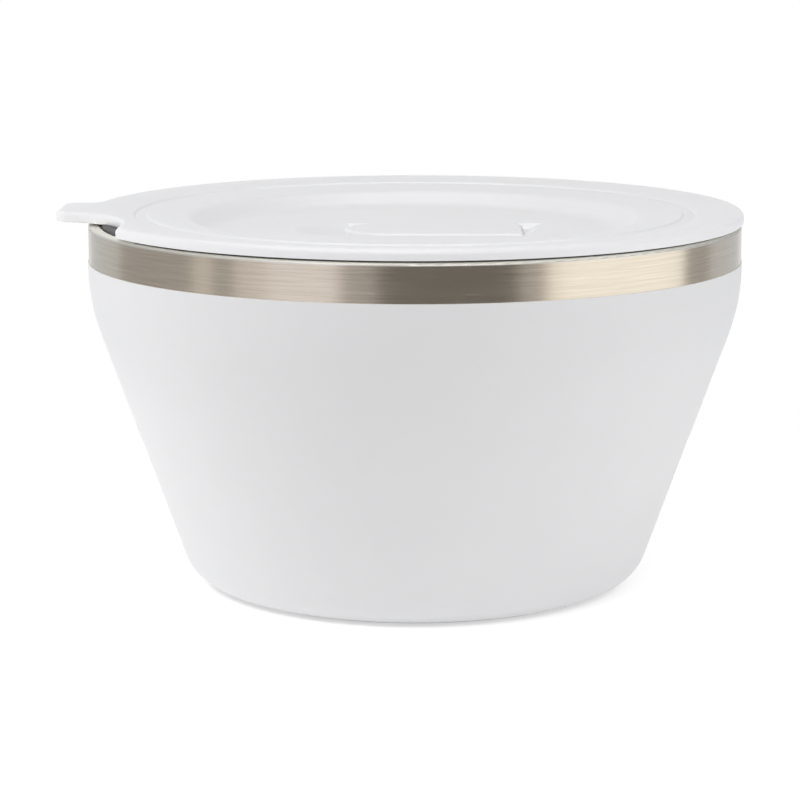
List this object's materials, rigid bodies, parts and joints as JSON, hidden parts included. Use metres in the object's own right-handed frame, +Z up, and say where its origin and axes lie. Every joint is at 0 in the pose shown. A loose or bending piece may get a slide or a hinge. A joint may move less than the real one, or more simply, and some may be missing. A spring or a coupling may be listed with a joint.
{
  "type": "insulated bowl with lid",
  "caption": "Flared double-wall vacuum bowl in white-coated stainless steel with a bare brushed rim, and a white lift-off lid with pull tab, seal and hinged vent flap.",
  "frame": {"origin": "on the bowl's axis at the plane that the foot rests on", "axes": "+Z up along the bowl's axis, -X towards the lid's pull tab, -Y towards the picture's viewer"},
  "size_m": [0.1732, 0.1656, 0.0948],
  "materials": {
    "brushed_steel": "brushed around the rim",
    "liner_steel": "fine brushed",
    "white_coat": "matte powder coat",
    "lid_plastic": "smooth satin",
    "grey_silicone": "matte",
    "seal_glass": "fused bead",
    "getter_metal": "sintered"
  },
  "bodies": {
    "bowl": {"outer_shell": "brushed_steel", "powder_coat": "white_coat", "inner_liner": "liner_steel", "base_disc": "liner_steel", "vacuum_seal": "seal_glass", "getter_clip": "liner_steel", "getter": "getter_metal"},
    "lid": {"lid_body": "lid_plastic", "lid_gasket": "grey_silicone"},
    "flap": {"vent_flap": "lid_plastic", "vent_plug": "grey_silicone"}
  },
  "joints": [
    {"name": "lid_lift", "type": "slide", "parent": "bowl", "child": "lid", "axis": [0, 0, 1], "range_m": [0, 0.12]},
    {"name": "vent_flap_hinge", "type": "hinge", "parent": "lid", "child": "flap", "pos_m": [0.0256, 0, 0.08765], "axis": [0, 1, 0], "range_deg": [0, 90]}
  ]
}
